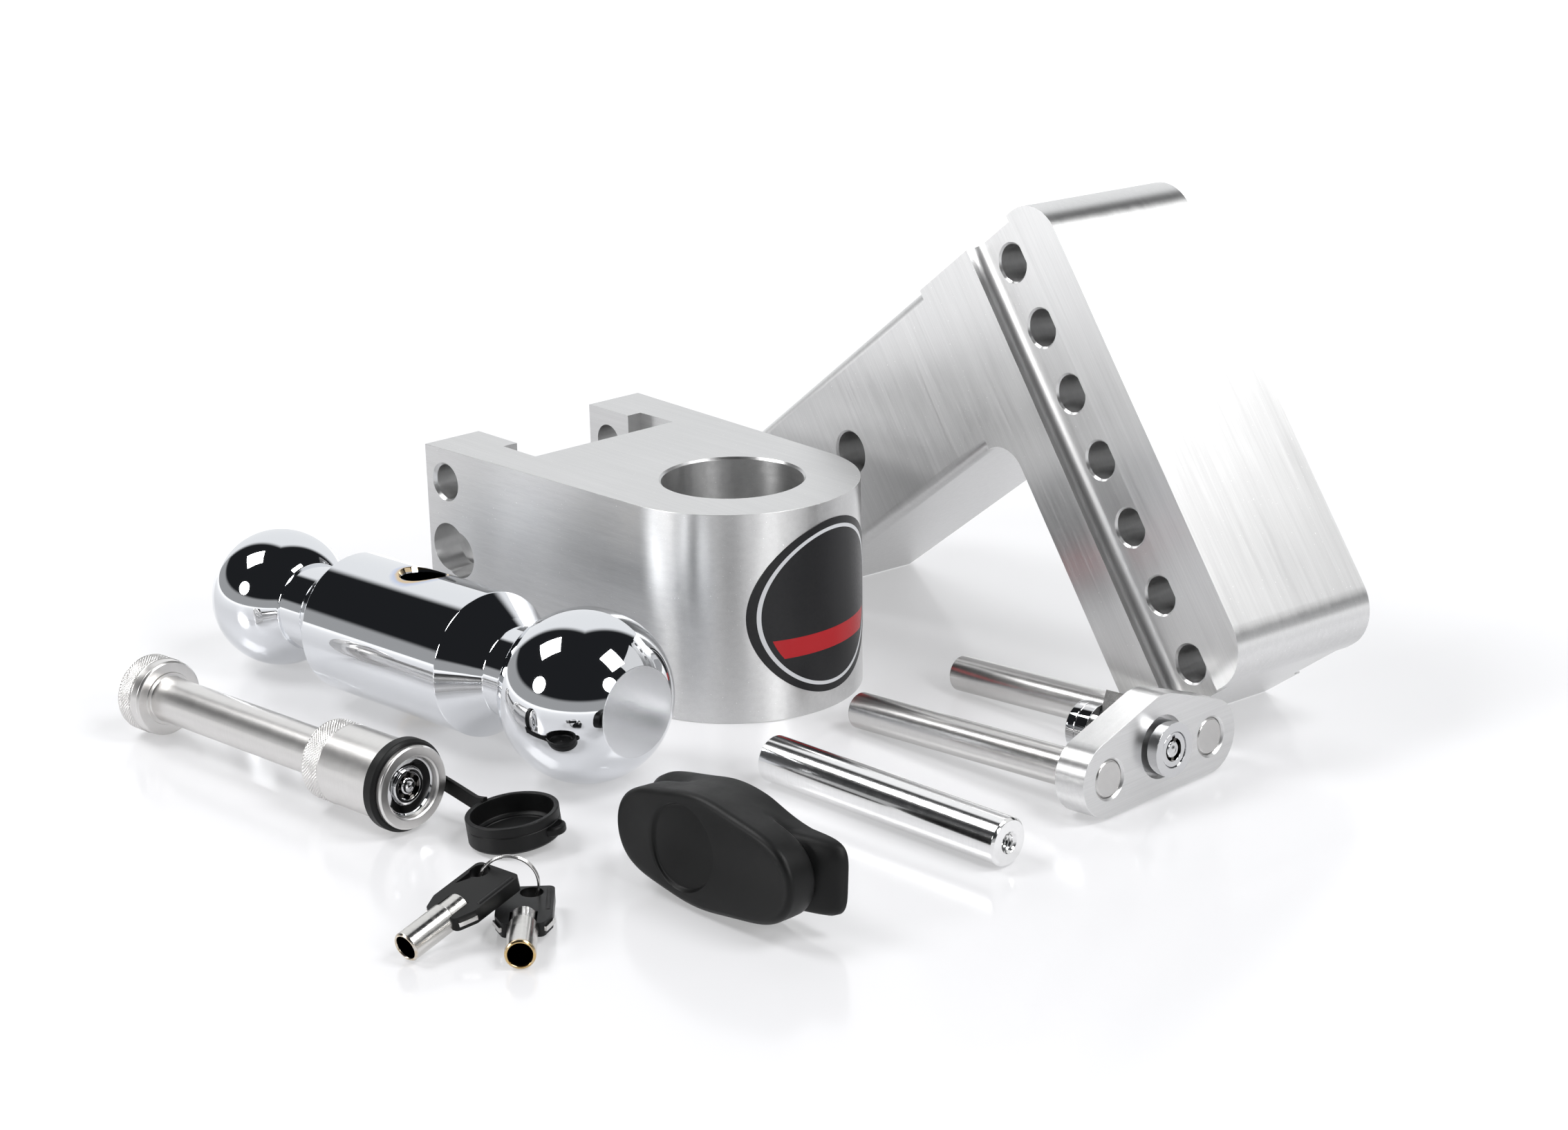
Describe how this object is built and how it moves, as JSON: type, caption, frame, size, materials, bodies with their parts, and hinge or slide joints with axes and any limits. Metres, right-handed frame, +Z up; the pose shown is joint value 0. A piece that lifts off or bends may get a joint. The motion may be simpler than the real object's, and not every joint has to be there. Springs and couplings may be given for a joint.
{
  "type": "trailer hitch with ball",
  "caption": "Adjustable drop hitch laid out in its pieces: drop shaft, ball mount, dual ball, ball pin, dual-pin lock, receiver pin lock, rubber cover and keys.",
  "frame": {"origin": "middle of the layout, on the bench surface that every piece rests on", "axes": "+Z up, +X to the right along the layout's long side, +Y away from the front"},
  "size_m": [0.4302, 0.3904, 0.1749],
  "materials": {
    "brushed_aluminium": "fine brushed, machined",
    "badge_print": "printed film",
    "chrome": "mirror",
    "polished_steel": "bright polished",
    "nickel_plate": "plated, satin",
    "worn_steel": "turned, slightly worn",
    "lock_chrome": "plated lock face",
    "brass": "plain",
    "satin_stainless": "satin turned, diamond knurl",
    "black_rubber": "matte moulded",
    "black_plastic": "satin moulded"
  },
  "bodies": {
    "drop_shaft": {"drop_shaft": "brushed_aluminium"},
    "ball_mount": {"ball_mount": "brushed_aluminium", "mount_badge": "badge_print"},
    "dual_ball": {"dual_ball": "chrome"},
    "ball_pin": {"ball_retaining_pin": "polished_steel"},
    "dual_pin_lock": {"lock_plate": "brushed_aluminium", "locking_pin_near": "worn_steel", "locking_pin_far": "worn_steel", "plate_lock_housing": "nickel_plate", "plate_lock_end_cap": "nickel_plate"},
    "plate_lock_cylinder": {"plate_lock_plug": "lock_chrome", "plate_lock_tumblers": "brass", "plate_lock_cam": "worn_steel", "plate_lock_cam_screw": "worn_steel"},
    "receiver_lock": {"lock_head_shell": "satin_stainless", "lock_head_core": "worn_steel", "lock_head_balls": "polished_steel", "lock_head_cylinder": "lock_chrome", "lock_head_end_ring": "satin_stainless", "cap_ring": "black_rubber"},
    "receiver_pin": {"receiver_pin": "satin_stainless"},
    "receiver_lock_plug": {"lock_head_plug": "lock_chrome", "lock_head_tumblers": "brass"},
    "dust_cap": {"dust_cap": "black_rubber"},
    "rubber_cover": {"rubber_cover": "black_rubber"},
    "split_ring": {"split_ring": "nickel_plate"},
    "key_1": {"key_1_tube": "nickel_plate", "key_1_head": "black_plastic"},
    "key_2": {"key_2_tube": "nickel_plate", "key_2_head": "black_plastic"}
  },
  "joints": [
    {"name": "ball_mount_lift", "type": "slide", "parent": "drop_shaft", "child": "ball_mount", "axis": [0, 0, 1], "range_m": [0, 0.12]},
    {"name": "dual_ball_lift", "type": "slide", "parent": "drop_shaft", "child": "dual_ball", "axis": [0, 0, 1], "range_m": [0, 0.12]},
    {"name": "ball_pin_lift", "type": "slide", "parent": "drop_shaft", "child": "ball_pin", "axis": [0, 0, 1], "range_m": [0, 0.1]},
    {"name": "receiver_lock_lift", "type": "slide", "parent": "drop_shaft", "child": "receiver_lock", "axis": [0, 0, 1], "range_m": [0, 0.1]},
    {"name": "rubber_cover_lift", "type": "slide", "parent": "drop_shaft", "child": "rubber_cover", "axis": [0, 0, 1], "range_m": [0, 0.1]},
    {"name": "split_ring_lift", "type": "slide", "parent": "drop_shaft", "child": "split_ring", "axis": [0, 0, 1], "range_m": [0, 0.1]},
    {"name": "dual_pin_lock_draw", "type": "slide", "parent": "drop_shaft", "child": "dual_pin_lock", "axis": [0.6794, -0.7311, 0.0626], "range_m": [0, 0.05]},
    {"name": "plate_lock_turn", "type": "hinge", "parent": "dual_pin_lock", "child": "plate_lock_cylinder", "pos_m": [0.1378, -0.07835, 0.01692], "axis": [0.6794, -0.7311, 0.0626], "range_deg": [0, 90]},
    {"name": "receiver_pin_pull", "type": "slide", "parent": "receiver_lock", "child": "receiver_pin", "axis": [-0.736, 0.6768, -0.0134], "range_m": [0, 0.06]},
    {"name": "receiver_lock_turn", "type": "hinge", "parent": "receiver_lock", "child": "receiver_lock_plug", "pos_m": [-0.10196, -0.09714, 0.01539], "axis": [0.736, -0.6768, 0.0134], "range_deg": [0, 90]},
    {"name": "dust_cap_swing", "type": "hinge", "parent": "receiver_lock", "child": "dust_cap", "pos_m": [-0.09424, -0.0818, 0.01], "axis": [-0.8468, -0.5319, 0], "range_deg": [0, 45]},
    {"name": "key_1_swing", "type": "hinge", "parent": "split_ring", "child": "key_1", "pos_m": [-0.07464, -0.1587, 0.01244], "axis": [0, 0, -1], "range_deg": [0, 40]},
    {"name": "key_2_swing", "type": "hinge", "parent": "split_ring", "child": "key_2", "pos_m": [-0.06004, -0.15791, 0.0046], "axis": [0, 0, 1], "range_deg": [0, 35]}
  ]
}
